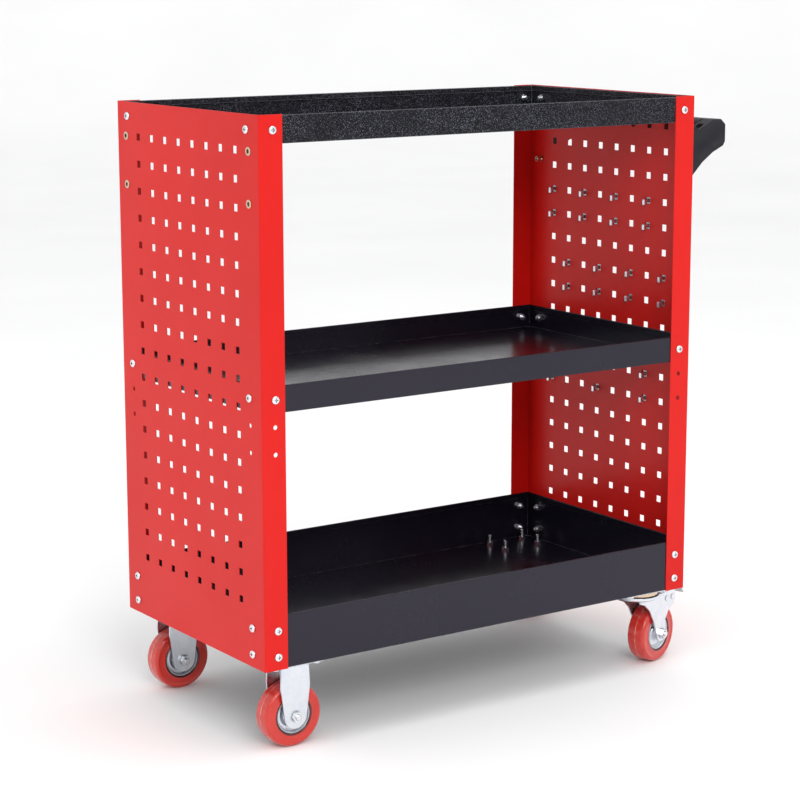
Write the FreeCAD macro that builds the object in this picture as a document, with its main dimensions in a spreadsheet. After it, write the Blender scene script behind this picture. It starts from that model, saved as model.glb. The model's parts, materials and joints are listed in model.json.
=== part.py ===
import FreeCAD, Part
import math
import os
import re

import Sketcher
from FreeCAD import Placement, Rotation, Vector

# Open three-tray tool trolley. X runs along its length, with the push handle at +X, Y to its rear
# and Z up from the floor. Sizes are in millimetres and angles in degrees.

SIZES = {
    # carcass
    "cart_length": 745,
    "cart_depth": 388,
    "panel_height": 745,
    "panel_bottom": 122,
    "panel_sheet": 1.2,
    "flange_width": 36,
    "fold_radius": 2,
    "fit_gap": 0.1,
    # pegboard in the side panels
    "peg_hole": 10,
    "peg_pitch": 38,
    "peg_columns": 8,
    "peg_rows": 17,
    "peg_top_drop": 48,
    # trays, with their heights above the panels' bottom edge
    "tray_sheet": 1,
    "shallow_tray": 37,
    "deep_tray": 75,
    "top_tray_level": 707,
    "middle_tray_level": 352.5,
    "bottom_tray_level": 1,
    "hem_height": 8,
    "hem_fold": 1.4,
    "tray_corner": 2,
    "relief_hole": 4,
    # tray screws, with their heights above the panels' bottom edge
    "screw_inset": 20.5,
    "screw_side": 163,
    "top_screw_level": 725,
    "middle_screw_level": 371,
    "spare_hole_level": 334,
    "low_spare_hole_level": 297,
    "rim_screw_level": 55,
    "floor_screw_level": 18.5,
    "screw_shank": 6,
    "screw_hole": 6.6,
    "screw_head": 11.5,
    "screw_head_height": 3.2,
    "screw_length": 12,
    "cross_arm": 5.2,
    "cross_width": 1.4,
    "cross_depth": 1.7,
    "nut_across": 10,
    "nut_height": 5,
    # rivet nuts and push handle, with heights above the panels' bottom edge
    "rivet_side": 168,
    "rivet_low_level": 628.5,
    "rivet_high_level": 697,
    "rivet_flange": 12,
    "rivet_flange_height": 1.2,
    "rivet_barrel": 8.8,
    "rivet_bulge": 10.6,
    "rivet_length": 10,
    "bracket_width": 24,
    "bracket_foot": 6,
    "bracket_reach": 75,
    "driver_bore": 13,
    "driver_depth": 32,
    "grip_inner": 40,
    "grip_outer": 72,
    "grip_low": 676,
    "grip_high": 708,
    "grip_round": 11,
    "handle_screw_length": 14,
    # pegboard hooks
    "hook_plate_width": 12,
    "hook_plate_sheet": 1.5,
    "hook_plate_rise": 9,
    "hook_plate_drop": 50,
    "prong_width": 5,
    "prong_reach": 9,
    "prong_tip_drop": 9,
    "hook_rod": 5,
    "hook_rod_drop": 24,
    "hook_rod_reach": 26,
    "hook_bend": 8,
    # casters, measured down from the bottom tray's underside
    "caster_side": 314,
    "caster_depth": 156,
    "caster_plate_length": 84,
    "caster_plate_width": 64,
    "caster_plate_sheet": 2.5,
    "caster_plate_corner": 6,
    "bolt_length_pitch": 66,
    "bolt_width_pitch": 42,
    "caster_bolt_length": 20,
    "caster_bolt_head": 4,
    "fork_gap": 35,
    "fork_sheet": 2.5,
    "fork_end": 13,
    "rigid_leg_top": 43,
    "rigid_leg_belly": 47,
    "rigid_leg_belly_drop": 36,
    "rigid_leg_end": 18,
    "axle_drop": 78,
    "axle_bolt": 8,
    "axle_hole": 8.2,
    "axle_head_across": 13,
    "axle_head_height": 5.3,
    "axle_nut_height": 6.5,
    "axle_end": 2.5,
    "bush_outside": 12,
    "hub_bore": 12.1,
    "hub_length": 33,
    "hub_boss": 22,
    "hub_web": 16,
    "hub_rim": 48,
    "hub_rim_width": 28,
    "tyre_inside": 53,
    "tyre_width": 30,
    "tyre_shoulder": 4.5,
    "wheel_radius": 45,
    # swivel heads
    "trail": 38,
    "front_turn": 17,
    "rear_turn": 0,
    "kingpin": 10,
    "kingpin_bore": 10.1,
    "kingpin_head": 18,
    "kingpin_neck_drop": 14,
    "kingpin_end_drop": 17.5,
    "race_outside": 60,
    "race_inside": 38,
    "race_bottom_drop": 10.6,
    "ball": 5,
    "ball_circle": 48,
    "ball_count": 12,
    "ball_drop": 10.95,
    "groove_width": 5.9,
    "crown_top_drop": 11.2,
    "crown_sheet": 2.5,
    "crown_outside": 64.8,
    "crown_lip_drop": 9.6,
    "leg_top_drop": 14.6,
    # brake
    "brake_pin": 5,
    "brake_pin_hole": 5.1,
    "brake_pin_head": 8,
    "brake_pin_head_height": 1.2,
    "pedal_pin_reach": 67,
    "shoe_pin_reach": 51,
    "brake_pin_drop": 25.5,
    "pedal_width": 32,
    "pedal_cheek": 2,
    "shoe_width": 26,
    "shoe_eye": 8.4,
}
PANEL_SCREW_LEVELS = (
    "top_screw_level",
    "middle_screw_level",
    "spare_hole_level",
    "low_spare_hole_level",
    "rim_screw_level",
    "floor_screw_level",
)
RIVET_LEVELS = ("rivet_low_level", "rivet_high_level")
SIDES = (-1, 1)

# The origin is on the floor, under the middle of the whole trolley's length: the screw heads stand
# proud of the left panel and the handle brackets of the right one.
CART_MIDDLE = "(screw_head_height - bracket_reach) / 2"
HALF_LENGTH = "cart_length / 2"
CASTER_TOP = "panel_bottom + bottom_tray_level"

document = FreeCAD.newDocument("tool_trolley")
sheet = document.addObject("Spreadsheet::Sheet", "sizes")
for row, (alias, size) in enumerate(SIZES.items(), start=1):
    sheet.set(f"A{row}", alias.replace("_", " "))
    sheet.set(f"B{row}", str(size))
    sheet.setAlias(f"B{row}", alias)
document.recompute()

nodes = []


def bound(formula):
    """Points every size word of a formula at its cell in the sheet."""

    def cell(match):
        word = match.group()
        return f"sizes.{word}" if word in SIZES else word

    return re.sub(r"[a-z_]+", cell, str(formula))


def amount(formula):
    """Works a formula out to a plain number."""
    return float(sheet.evalExpression(bound(formula)))


# ---------------------------------------------------------------- drawing helpers


def place(item, x="0", y="0", z="0", turn="0"):
    """Binds where an item stands, and how far it is turned about Z."""
    item.setExpression("Placement.Base.x", bound(x))
    item.setExpression("Placement.Base.y", bound(y))
    item.setExpression("Placement.Base.z", bound(z))
    if turn != "0":
        item.setExpression("Placement.Rotation.Angle", bound(turn))


def new_body(label):
    """Starts a sub-part."""
    body = document.addObject("PartDesign::Body", label)
    body.Label = label
    return body


def new_sketch(body, role, offset="0"):
    """Starts a sketch on one of the body's own planes, moved along that plane's normal."""
    plane = next(item for item in body.Origin.OriginFeatures if item.Role == role)
    sketch = body.newObject("Sketcher::SketchObject", f"{body.Name}_sketch")
    sketch.AttachmentSupport = [(plane, "")]
    sketch.MapMode = "FlatFace"
    if offset != "0":
        sketch.setExpression(".AttachmentOffset.Base.z", bound(offset))
    return sketch


def bind_point(sketch, edge, point, x, y):
    """Ties one point of a sketch edge to the sheet."""
    for axis, formula in (("X", x), ("Y", y)):
        number = sketch.addConstraint(
            Sketcher.Constraint(f"Distance{axis}", -1, 1, edge, point, amount(formula))
        )
        sketch.setExpression(f"Constraints[{number}]", bound(formula))


def add_polygon(sketch, corners):
    """Draws a closed outline through corners given as pairs of formulas."""
    places = [Vector(amount(x), amount(y), 0) for x, y in corners]
    count = len(corners)
    first = sketch.GeometryCount
    for index in range(count):
        sketch.addGeometry(Part.LineSegment(places[index], places[(index + 1) % count]), False)
    for index in range(count):
        following = first + (index + 1) % count
        sketch.addConstraint(Sketcher.Constraint("Coincident", first + index, 2, following, 1))
    for index, (x, y) in enumerate(corners):
        bind_point(sketch, first + index, 1, x, y)
    return sketch


def add_rectangle(sketch, left, low, right, high):
    return add_polygon(sketch, [(left, low), (right, low), (right, high), (left, high)])


def add_circle(sketch, x, y, diameter):
    centre = Vector(amount(x), amount(y), 0)
    radius = f"({diameter}) / 2"
    edge = sketch.addGeometry(Part.Circle(centre, Vector(0, 0, 1), amount(radius)), False)
    bind_point(sketch, edge, 3, x, y)
    number = sketch.addConstraint(Sketcher.Constraint("Radius", edge, amount(radius)))
    sketch.setExpression(f"Constraints[{number}]", bound(radius))
    return sketch


def add_hexagon(sketch, across):
    """Draws a hexagon of a given size across its flats, with two corners on the sketch's X axis."""
    corner = f"({across}) / sqrt(3)"
    flat = f"({across}) / 2"
    right = [(corner, "0"), (f"{corner} / 2", flat), (f"-{corner} / 2", flat)]
    left = [(f"-{corner}", "0"), (f"-{corner} / 2", f"-{flat}"), (f"{corner} / 2", f"-{flat}")]
    return add_polygon(sketch, right + left)


def extrude(body, sketch, length, backwards=False, both_ways=False):
    pad = body.newObject("PartDesign::Pad", f"{body.Name}_pad")
    pad.Profile = sketch
    pad.SideType = "Symmetric" if both_ways else "One side"
    pad.Reversed = backwards
    pad.setExpression("Length", bound(length))
    return pad


def cut(body, sketch, length, backwards=False, both_ways=False):
    """Cuts a sketch out of the body, and stops if nothing was cut."""
    document.recompute()
    before = body.Shape.Volume
    pocket = body.newObject("PartDesign::Pocket", f"{body.Name}_pocket")
    pocket.Profile = sketch
    pocket.SideType = "Symmetric" if both_ways else "One side"
    pocket.Reversed = backwards
    pocket.setExpression("Length", bound(length))
    document.recompute()
    if "Invalid" in pocket.State or body.Shape.Volume > before - 0.01:
        raise RuntimeError(f"{pocket.Name} cuts nothing")
    return pocket


def revolve(body, sketch, axis, cutting=False):
    """Turns a sketch once round its own horizontal or vertical axis."""
    kind = "Groove" if cutting else "Revolution"
    turned = body.newObject(f"PartDesign::{kind}", f"{body.Name}_turned")
    turned.Profile = sketch
    turned.ReferenceAxis = (sketch, [axis])
    turned.Angle = 360
    return turned


def round_edges(body, radius, chosen):
    """Rounds the edges of the body's latest feature that the test picks."""
    document.recompute()
    latest = body.Tip
    names = [f"Edge{n}" for n, edge in enumerate(latest.Shape.Edges, start=1) if chosen(edge)]
    if not names:
        raise RuntimeError(f"no edge of {body.Name} to round")
    fillet = body.newObject("PartDesign::Fillet", f"{body.Name}_fillet")
    fillet.Base = (latest, names)
    fillet.setExpression("Radius", bound(radius))
    document.recompute()
    if "Invalid" in fillet.State:
        raise RuntimeError(f"{fillet.Name} fails")
    return fillet


def runs_along(edge, axis):
    """Tells whether a straight edge lies along X, Y or Z, given as 0, 1 or 2."""
    if edge.Curve.TypeId != "Part::GeomLine":
        return False
    return abs(edge.Curve.Direction[axis]) > 0.999


def is_ring(edge, diameter):
    """Tells whether an edge is a circle of a given diameter."""
    if edge.Curve.TypeId != "Part::GeomCircle":
        return False
    return abs(2 * edge.Curve.Radius - amount(diameter)) < 0.001


def near(number, formula):
    return abs(number - amount(formula)) < 0.01


def group(label, master, places):
    """Places copies of one fastener, each a solid of its own, as one sub-part."""
    copies = []
    for number, (spot, rotation) in enumerate(places, start=1):
        copy = document.addObject("App::Link", f"{label}_{number}")
        copy.LinkedObject = master
        copy.Placement = Placement(Vector(), rotation)
        place(copy, *spot)
        copies.append(copy)
    compound = document.addObject("Part::Compound", label)
    compound.Label = label
    compound.Links = copies
    nodes.append(compound)
    return compound


def finish(body):
    nodes.append(body)
    return body


# Directions that a fastener's head can face.
FACING = {
    "up": Rotation(),
    "down": Rotation(Vector(1, 0, 0), 180),
    "right": Rotation(Vector(0, 1, 0), 90),
    "left": Rotation(Vector(0, 1, 0), -90),
    "front": Rotation(Vector(1, 0, 0), 90),
    "rear": Rotation(Vector(1, 0, 0), -90),
}


# ---------------------------------------------------------------- fasteners


def pan_head_screw(label, length):
    """A cross-recessed pan-head screw: head up, with its underside at zero."""
    screw = new_body(label)
    profile = new_sketch(screw, "XZ_Plane")
    shank = "screw_shank / 2"
    corners = [
        ("0", f"-{length}"),
        (f"{shank} - 0.7", f"-{length}"),
        (shank, f"-{length} + 0.7"),
        (shank, "0"),
        ("screw_head / 2", "0"),
        ("screw_head / 2", "screw_head_height"),
        ("0", "screw_head_height"),
    ]
    revolve(screw, add_polygon(profile, corners), "V_Axis")
    rim_height = amount("screw_head_height")
    round_edges(
        screw,
        "screw_head_height * 0.75",
        lambda edge: is_ring(edge, "screw_head") and abs(edge.Curve.Center.z - rim_height) < 0.01,
    )
    recess = new_sketch(screw, "XY_Plane", "screw_head_height")
    arm = "cross_arm / 2"
    half = "cross_width / 2"
    quarter = [(arm, f"-{half}"), (arm, half), (half, half), (half, arm)]
    outline = list(quarter)
    outline += [(f"-{half}", arm), (f"-{half}", half), (f"-{arm}", half), (f"-{arm}", f"-{half}")]
    outline += [(f"-{half}", f"-{half}"), (f"-{half}", f"-{arm}"), (half, f"-{arm}"), (half, f"-{half}")]
    cut(screw, add_polygon(recess, outline), "cross_depth")
    return screw


def hex_nut(label):
    """A nut whose seat is at zero and whose far face is down."""
    nut = new_body(label)
    extrude(nut, add_hexagon(new_sketch(nut, "XY_Plane"), "nut_across"), "nut_height", backwards=True)
    cut(nut, add_circle(new_sketch(nut, "XY_Plane"), "0", "0", "screw_shank + 0.1"), "nut_height")
    corner = "nut_across / sqrt(3)"
    bevel = new_sketch(nut, "XZ_Plane")
    corners = [
        ("nut_across / 2 - 0.1", "-nut_height - 0.1"),
        (f"{corner} + 1", "-nut_height - 0.1"),
        (f"{corner} + 1", "-nut_height + 1"),
    ]
    revolve(nut, add_polygon(bevel, corners), "V_Axis", cutting=True)
    return nut


def rivet_nut(label):
    """A rivet nut with its flange on the panel's face at zero and its crimped barrel below."""
    nut = new_body(label)
    bore = "screw_shank / 2 + 0.05"
    under = "-panel_sheet"
    corners = [
        (bore, "rivet_flange_height"),
        ("rivet_flange / 2 - 0.4", "rivet_flange_height"),
        ("rivet_flange / 2", "rivet_flange_height - 0.5"),
        ("rivet_flange / 2", "0"),
        ("rivet_barrel / 2", "0"),
        ("rivet_barrel / 2", under),
        ("rivet_bulge / 2", under),
        ("rivet_bulge / 2", f"{under} - 1.6"),
        ("rivet_barrel / 2", f"{under} - 2.6"),
        ("rivet_barrel / 2", "-rivet_length"),
        (bore, "-rivet_length"),
    ]
    revolve(nut, add_polygon(new_sketch(nut, "XZ_Plane"), corners), "V_Axis")
    return nut


def hex_bolt(label):
    """A caster bolt: head below, with the head's seat at zero and the shank rising."""
    bolt = new_body(label)
    extrude(bolt, add_hexagon(new_sketch(bolt, "XY_Plane"), "nut_across"), "caster_bolt_head", backwards=True)
    shank = new_sketch(bolt, "XZ_Plane")
    radius = "screw_shank / 2"
    corners = [
        ("0", "-caster_bolt_head / 2"),
        (radius, "-caster_bolt_head / 2"),
        (radius, "caster_bolt_length - 0.8"),
        (f"{radius} - 0.8", "caster_bolt_length"),
        ("0", "caster_bolt_length"),
    ]
    revolve(bolt, add_polygon(shank, corners), "V_Axis")
    return bolt


tray_screw = pan_head_screw("tray_screw_pattern", "screw_length")
handle_screw = pan_head_screw("handle_screw_pattern", "handle_screw_length")
plain_nut = hex_nut("nut_pattern")
panel_rivet_nut = rivet_nut("rivet_nut_pattern")
caster_bolt = hex_bolt("caster_bolt_pattern")


# ---------------------------------------------------------------- side panels


def side_panel(label, side):
    """A channel folded from one sheet, drawn with its outer face at X = 0 and its inside at +X."""
    panel = new_body(label)
    half = "cart_depth / 2"
    channel = [
        ("0", f"-{half}"),
        ("flange_width", f"-{half}"),
        ("flange_width", f"-{half} + panel_sheet"),
        ("panel_sheet", f"-{half} + panel_sheet"),
        ("panel_sheet", f"{half} - panel_sheet"),
        ("flange_width", f"{half} - panel_sheet"),
        ("flange_width", half),
        ("0", half),
    ]
    extrude(panel, add_polygon(new_sketch(panel, "XY_Plane"), channel), "panel_height")
    round_edges(panel, "fold_radius", lambda edge: runs_along(edge, 2) and near(edge.CenterOfMass.x, "0"))

    peg = new_sketch(panel, "YZ_Plane")
    first_y = "-peg_pitch * (peg_columns - 1) / 2"
    first_z = "panel_height - peg_top_drop - peg_pitch * (peg_rows - 1)"
    half_peg = "peg_hole / 2"
    add_rectangle(
        peg,
        f"{first_y} - {half_peg}",
        f"{first_z} - {half_peg}",
        f"{first_y} + {half_peg}",
        f"{first_z} + {half_peg}",
    )
    first_hole = cut(panel, peg, "panel_sheet * 2", backwards=True)
    grid = panel.newObject("PartDesign::LinearPattern", f"{panel.Name}_grid")
    grid.Originals = [first_hole]
    grid.Direction = (peg, ["H_Axis"])
    grid.Mode = "Spacing"
    grid.setExpression("Offset", bound("peg_pitch"))
    grid.setExpression("Occurrences", bound("peg_columns"))
    grid.Direction2 = (peg, ["V_Axis"])
    grid.Mode2 = "Extent"
    grid.setExpression("Length2", bound("peg_pitch * (peg_rows - 1)"))
    grid.setExpression("Occurrences2", bound("peg_rows"))
    panel.Tip = grid

    flange_holes = new_sketch(panel, "XZ_Plane")
    for level in PANEL_SCREW_LEVELS:
        add_circle(flange_holes, "screw_inset", level, "screw_hole")
    cut(panel, flange_holes, "cart_depth * 1.1", both_ways=True)
    web_holes = new_sketch(panel, "YZ_Plane")
    for edge in SIDES:
        for level in PANEL_SCREW_LEVELS:
            add_circle(web_holes, f"{edge} * screw_side", level, "screw_hole")
        for level in RIVET_LEVELS:
            add_circle(web_holes, f"{edge} * rivet_side", level, "rivet_barrel + 0.1")
    cut(panel, web_holes, "panel_sheet * 2", backwards=True)

    turn = "0" if side < 0 else "180"
    place(panel, f"{CART_MIDDLE} + {side} * {HALF_LENGTH}", "0", "panel_bottom", turn)
    return finish(panel)


side_panel("left_side_panel", -1)
side_panel("right_side_panel", 1)


# ---------------------------------------------------------------- trays


def tray(label, level, height, screw_levels):
    """A folded sheet tray with a hem turned in round its rim."""
    pan = new_body(label)
    half_x = "(cart_length / 2 - panel_sheet - fit_gap)"
    half_y = "(cart_depth / 2 - panel_sheet - fit_gap)"

    def ring(sketch, inset):
        add_rectangle(
            sketch,
            f"-{half_x} + ({inset})",
            f"-{half_y} + ({inset})",
            f"{half_x} - ({inset})",
            f"{half_y} - ({inset})",
        )
        return sketch

    extrude(pan, ring(new_sketch(pan, "XY_Plane"), "0"), height)
    round_edges(pan, "tray_corner", lambda edge: runs_along(edge, 2))
    round_edges(pan, "tray_sheet * 1.2", lambda edge: near(edge.BoundBox.ZMax, "0"))
    hem_level = f"{height} - hem_height"
    inside = ring(new_sketch(pan, "XY_Plane", "tray_sheet"), "tray_sheet")
    cut(pan, inside, f"{hem_level} - tray_sheet", backwards=True)
    mouth = ring(new_sketch(pan, "XY_Plane", f"{hem_level} - tray_sheet"), "tray_sheet + hem_fold")
    cut(pan, mouth, "hem_height * 2", backwards=True)
    round_edges(
        pan,
        "(tray_sheet + hem_fold) * 0.42",
        lambda edge: near(edge.BoundBox.ZMin, height) and near(edge.BoundBox.ZMax, height),
    )

    wall_holes = new_sketch(pan, "XZ_Plane")
    end_holes = new_sketch(pan, "YZ_Plane")
    for side in SIDES:
        for screw_level in screw_levels:
            screw_height = f"{screw_level} - {level}"
            add_circle(wall_holes, f"{side} * ({HALF_LENGTH} - screw_inset)", screw_height, "screw_hole")
            add_circle(end_holes, f"{side} * screw_side", screw_height, "screw_hole")
    cut(pan, wall_holes, "cart_depth", both_ways=True)
    cut(pan, end_holes, "cart_length", both_ways=True)

    reliefs = new_sketch(pan, "XY_Plane")
    for x_side in SIDES:
        for y_side in SIDES:
            add_circle(
                reliefs,
                f"{x_side} * ({half_x} - relief_hole * 1.2)",
                f"{y_side} * ({half_y} - relief_hole * 1.2)",
                "relief_hole",
            )
    cut(pan, reliefs, "tray_sheet * 2", backwards=True)
    place(pan, CART_MIDDLE, "0", f"panel_bottom + {level}")
    return finish(pan)


def caster_bolt_spots(side, depth):
    """Gives the four bolt places of one caster, from the trolley's middle."""
    for x_step in SIDES:
        for y_step in SIDES:
            x = f"{side} * caster_side + {x_step} * bolt_length_pitch / 2"
            y = f"{depth} * caster_depth + {y_step} * bolt_width_pitch / 2"
            yield x, y


tray("top_tray", "top_tray_level", "shallow_tray", ["top_screw_level"])
tray("middle_tray", "middle_tray_level", "shallow_tray", ["middle_screw_level"])
bottom_tray = tray(
    "bottom_tray", "bottom_tray_level", "deep_tray", ["rim_screw_level", "floor_screw_level"]
)
bolt_holes = new_sketch(bottom_tray, "XY_Plane")
for x_end in SIDES:
    for y_end in SIDES:
        for bolt_x, bolt_y in caster_bolt_spots(x_end, y_end):
            add_circle(bolt_holes, bolt_x, bolt_y, "screw_hole")
cut(bottom_tray, bolt_holes, "tray_sheet * 2", backwards=True)


def screw_places(levels, out, end_out, heads):
    """Gives a fastener's places on the front, rear and end walls at all four corners of a tray.

    out and end_out are its distances from the middle along Y and X. A nut faces as its screw does.
    """
    places = []
    for level in levels:
        height = f"panel_bottom + {level}"
        for x_side in SIDES:
            for y_side in SIDES:
                x = f"{CART_MIDDLE} + {x_side} * ({HALF_LENGTH} - screw_inset)"
                facing = heads[y_side]
                places.append(((x, f"{y_side} * ({out})", height), FACING[facing]))
                x = f"{CART_MIDDLE} + {x_side} * ({end_out})"
                facing = "left" if x_side < 0 else "right"
                places.append(((x, f"{y_side} * screw_side", height), FACING[facing]))
    return places


FRONT_AND_REAR = {-1: "front", 1: "rear"}
for name, levels in (
    ("top_tray", ["top_screw_level"]),
    ("middle_tray", ["middle_screw_level"]),
    ("bottom_tray", ["rim_screw_level", "floor_screw_level"]),
):
    spots = screw_places(levels, "cart_depth / 2", HALF_LENGTH, FRONT_AND_REAR)
    group(f"{name}_screws", tray_screw, spots)
    wall = "(panel_sheet + fit_gap + tray_sheet)"
    spots = screw_places(levels, f"cart_depth / 2 - {wall}", f"{HALF_LENGTH} - {wall}", FRONT_AND_REAR)
    group(f"{name}_nuts", plain_nut, spots)


# ---------------------------------------------------------------- rivet nuts and push handle


def rivet_places(side, out):
    """Gives the four rivet-nut places on one panel, out being their distance from its outer face."""
    facing = FACING["left"] if side < 0 else FACING["right"]
    x = f"{CART_MIDDLE} + {side} * ({HALF_LENGTH} + {out})"
    places = []
    for edge in SIDES:
        for level in RIVET_LEVELS:
            places.append(((x, f"{edge} * rivet_side", f"panel_bottom + {level}"), facing))
    return places


group("left_rivet_nuts", panel_rivet_nut, rivet_places(-1, "0"))
group("right_rivet_nuts", panel_rivet_nut, rivet_places(1, "0"))
group("handle_screws", handle_screw, rivet_places(1, "bracket_foot"))

# The bracket's outline, as its reach from the panel and its height above the grip's underside.
BRACKET_OUTLINE = [
    ("0", "-64"),
    ("bracket_reach * 0.18", "-48"),
    ("bracket_reach * 0.41", "-31"),
    ("bracket_reach * 0.68", "-17"),
    ("bracket_reach * 0.95", "-8"),
    ("bracket_reach", "-2"),
    ("bracket_reach", "24"),
    ("bracket_reach * 0.88", "32"),
    ("bracket_reach * 0.67", "32"),
    ("bracket_reach * 0.47", "24"),
    ("bracket_reach * 0.31", "17.5"),
    ("bracket_reach * 0.2", "23"),
    ("0", "29"),
]


def handle_bracket(label, side):
    """A moulded ear that stands out from the panel and carries one end of the grip."""
    bracket = new_body(label)
    outline = [(reach, f"grip_low + {rise}") for reach, rise in BRACKET_OUTLINE]
    extrude(bracket, add_polygon(new_sketch(bracket, "XZ_Plane"), outline), "bracket_width", both_ways=True)
    reach = amount("bracket_reach")
    round_edges(
        bracket,
        "5",
        lambda edge: runs_along(edge, 1) and edge.CenterOfMass.x > reach * 0.6,
    )
    round_edges(
        bracket,
        "1.5",
        lambda edge: abs(abs(edge.CenterOfMass.y) - amount("bracket_width / 2")) < 0.01
        and edge.BoundBox.XMax > 1,
    )
    flange_seats = new_sketch(bracket, "YZ_Plane")
    shank_holes = new_sketch(bracket, "YZ_Plane")
    driver_bores = new_sketch(bracket, "YZ_Plane", "bracket_foot")
    for level in RIVET_LEVELS:
        add_circle(flange_seats, "0", level, "rivet_flange + 0.6")
        add_circle(shank_holes, "0", level, "screw_hole")
        add_circle(driver_bores, "0", level, "driver_bore")
    cut(bracket, flange_seats, "rivet_flange_height + 0.1", backwards=True)
    cut(bracket, shank_holes, "bracket_foot * 1.2", backwards=True)
    cut(bracket, driver_bores, "driver_depth", backwards=True)
    place(bracket, f"{CART_MIDDLE} + {HALF_LENGTH}", f"{side} * rivet_side", "panel_bottom")
    return finish(bracket)


handle_bracket("front_handle_bracket", -1)
handle_bracket("rear_handle_bracket", 1)

grip = new_body("handle_grip")
add_rectangle(new_sketch(grip, "XZ_Plane"), "grip_inner", "grip_low", "grip_outer", "grip_high")
extrude(grip, grip.Group[0], "2 * rivet_side - bracket_width", both_ways=True)
round_edges(grip, "grip_round", lambda edge: runs_along(edge, 1))
place(grip, f"{CART_MIDDLE} + {HALF_LENGTH}", "0", "panel_bottom")
finish(grip)


# ---------------------------------------------------------------- pegboard hooks


def pegboard_hook(label):
    """A hook: a plate on the panel's outer face, two prongs through the holes and a round arm."""
    hook = new_body(label)
    back = new_sketch(hook, "YZ_Plane")
    half = "hook_plate_width / 2"
    add_rectangle(back, f"-{half}", "-hook_plate_drop", half, "hook_plate_rise")
    extrude(hook, back, "hook_plate_sheet")
    prongs = new_sketch(hook, "XZ_Plane")
    thick = "prong_width / 2"
    inner = "-prong_reach - panel_sheet"
    for drop in ("0", "peg_pitch"):
        corners = [
            ("0.5", f"-{drop} + {thick}"),
            (inner, f"-{drop} + {thick}"),
            (inner, f"-{drop} + {thick} - prong_tip_drop"),
            (f"{inner} + prong_width * 0.7", f"-{drop} + {thick} - prong_tip_drop"),
            (f"{inner} + prong_width * 0.7", f"-{drop} - {thick}"),
            ("0.5", f"-{drop} - {thick}"),
        ]
        add_polygon(prongs, corners)
    extrude(hook, prongs, "prong_width", both_ways=True)
    round_edges(hook, "1", lambda edge: runs_along(edge, 1) and edge.CenterOfMass.x < amount(inner) + 1)

    path = new_sketch(hook, "XZ_Plane")
    start_x = "hook_plate_sheet / 2"
    height = "-hook_rod_drop"
    start = Vector(amount(start_x), amount(height), 0)
    elbow = Vector(amount("hook_rod_reach"), amount(height), 0)
    bend = amount("hook_bend")
    path.addGeometry(Part.LineSegment(start, elbow), False)
    middle = elbow + Vector(0, bend, 0)
    circle = Part.Circle(middle, Vector(0, 0, 1), bend)
    path.addGeometry(Part.ArcOfCircle(circle, -math.pi / 2, 0), False)
    path.addConstraint(Sketcher.Constraint("Coincident", 0, 2, 1, 1))
    bind_point(path, 0, 1, start_x, height)
    bind_point(path, 0, 2, "hook_rod_reach", height)
    bind_point(path, 1, 3, "hook_rod_reach", f"{height} + hook_bend")
    number = path.addConstraint(Sketcher.Constraint("DistanceY", -1, 1, 1, 2, middle.y))
    path.setExpression(f"Constraints[{number}]", bound(f"{height} + hook_bend"))
    section = new_sketch(hook, "YZ_Plane", start_x)
    add_circle(section, "0", height, "hook_rod")
    document.recompute()
    rod = hook.newObject("PartDesign::AdditivePipe", f"{hook.Name}_rod")
    rod.Profile = section
    rod.Spine = (path, ["Edge1", "Edge2"])
    return hook


hook = pegboard_hook("hook_pattern")
# Each row gives the peg row of the upper prong, counted from the top, and the peg columns, counted
# from the rear.
for label, peg_row, peg_columns in (
    ("hooks_top_row", 3, (0, 2, 4, 6)),
    ("hooks_middle_row", 6, (1, 3, 5, 7)),
    ("hooks_bottom_row", 10, (0, 3, 6)),
):
    spots = []
    for column in peg_columns:
        x = f"{CART_MIDDLE} + {HALF_LENGTH} + fit_gap"
        y = f"peg_pitch * ((peg_columns - 1) / 2 - {column})"
        z = f"panel_bottom + panel_height - peg_top_drop - peg_pitch * {peg_row}"
        spots.append(((x, y, z), FACING["up"]))
    group(label, hook, spots)


# ---------------------------------------------------------------- casters


def caster_spot(side, depth, turn="0", reach="0"):
    """Gives the place of something that stands a reach away from a caster's axis, at its top face."""
    x = f"{CART_MIDDLE} + {side} * caster_side + ({reach}) * cos({turn})"
    y = f"{depth} * caster_depth + ({reach}) * sin({turn})"
    return x, y, CASTER_TOP, turn


def caster_plate(body):
    """Draws the mounting plate, with its top face at zero, and its four bolt holes."""
    outline = new_sketch(body, "XY_Plane")
    half_length = "caster_plate_length / 2"
    half_width = "caster_plate_width / 2"
    add_rectangle(outline, f"-{half_length}", f"-{half_width}", half_length, half_width)
    extrude(body, outline, "caster_plate_sheet", backwards=True)
    round_edges(body, "caster_plate_corner", lambda edge: runs_along(edge, 2))
    holes = new_sketch(body, "XY_Plane")
    for x_step in SIDES:
        for y_step in SIDES:
            add_circle(
                holes, f"{x_step} * bolt_length_pitch / 2", f"{y_step} * bolt_width_pitch / 2", "screw_hole"
            )
    cut(body, holes, "caster_plate_sheet * 1.5")


def fork_legs(body, outline, reach, end):
    """Stands two legs on either side of the wheel, rounded to the end radius round the axle."""
    for side in SIDES:
        offset = f"{side} * fork_gap / 2"
        leg = add_polygon(new_sketch(body, "XZ_Plane", offset), outline)
        extrude(body, leg, "fork_sheet", backwards=side < 0)
        foot = add_circle(new_sketch(body, "XZ_Plane", offset), reach, "-axle_drop", f"{end} * 2")
        extrude(body, foot, "fork_sheet", backwards=side < 0)
    axle_hole = add_circle(new_sketch(body, "XZ_Plane"), reach, "-axle_drop", "axle_hole")
    cut(body, axle_hole, "fork_gap * 2", both_ways=True)


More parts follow.
